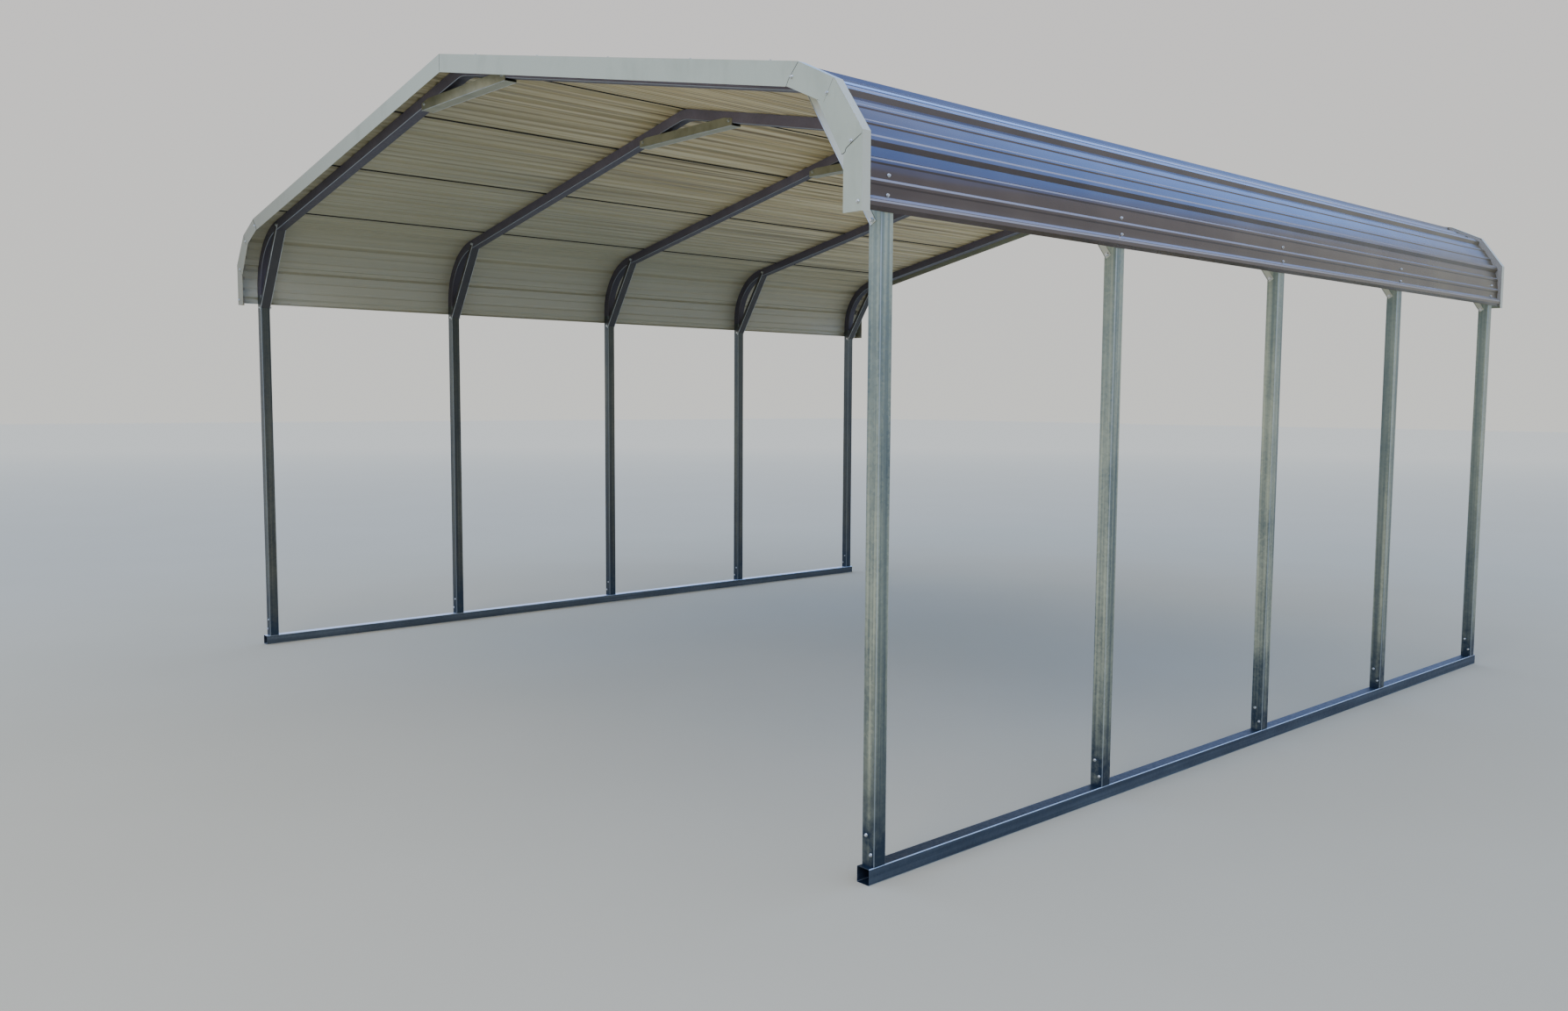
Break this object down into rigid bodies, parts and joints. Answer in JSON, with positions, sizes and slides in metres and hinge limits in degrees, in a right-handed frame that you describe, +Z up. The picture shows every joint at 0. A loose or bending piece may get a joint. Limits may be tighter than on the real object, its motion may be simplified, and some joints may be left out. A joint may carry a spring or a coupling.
{
  "type": "carport",
  "caption": "Open two-car carport: bent square tube frames on base rails, knee and peak braces, ribbed sheet roof with rounded eaves, folded gable trim.",
  "frame": {"origin": "on the ground, in the middle of the footprint", "axes": "+X across to the right side seen from the front, +Y from the front end to the back end along the ridge, +Z up"},
  "size_m": [6.229, 6.299, 3.6115],
  "materials": {
    "galvanised_tube": "galvanised, matt, with faint streaks",
    "galvanised_channel": "galvanised, matt",
    "brown_roof_sheet": "dark brown baked paint, glossy outside, beige primer underneath",
    "white_trim": "off-white baked paint, satin"
  },
  "bodies": {
    "root": {"back_left_gable_trim": "white_trim", "back_right_gable_trim": "white_trim", "front_left_gable_trim": "white_trim", "front_right_gable_trim": "white_trim", "left_base_rail": "galvanised_tube", "left_eave_sheet": "brown_roof_sheet", "left_knee_brace_1": "galvanised_channel", "left_knee_brace_2": "galvanised_channel", "left_knee_brace_3": "galvanised_channel", "left_knee_brace_4": "galvanised_channel", "left_knee_brace_5": "galvanised_channel", "left_leg_1": "galvanised_tube", "left_leg_2": "galvanised_tube", "left_leg_3": "galvanised_tube", "left_leg_4": "galvanised_tube", "left_leg_5": "galvanised_tube", "left_lower_roof_sheet": "brown_roof_sheet", "left_middle_roof_sheet": "brown_roof_sheet", "left_upper_roof_sheet": "brown_roof_sheet", "peak_brace_1": "galvanised_channel", "peak_brace_2": "galvanised_channel", "peak_brace_3": "galvanised_channel", "peak_brace_4": "galvanised_channel", "peak_brace_5": "galvanised_channel", "ridge_cap": "brown_roof_sheet", "right_base_rail": "galvanised_tube", "right_eave_sheet": "brown_roof_sheet", "right_knee_brace_1": "galvanised_channel", "right_knee_brace_2": "galvanised_channel", "right_knee_brace_3": "galvanised_channel", "right_knee_brace_4": "galvanised_channel", "right_knee_brace_5": "galvanised_channel", "right_leg_1": "galvanised_tube", "right_leg_2": "galvanised_tube", "right_leg_3": "galvanised_tube", "right_leg_4": "galvanised_tube", "right_leg_5": "galvanised_tube", "right_lower_roof_sheet": "brown_roof_sheet", "right_middle_roof_sheet": "brown_roof_sheet", "right_upper_roof_sheet": "brown_roof_sheet", "roof_bow_1": "galvanised_tube", "roof_bow_2": "galvanised_tube", "roof_bow_3": "galvanised_tube", "roof_bow_4": "galvanised_tube", "roof_bow_5": "galvanised_tube"}
  },
  "joints": []
}
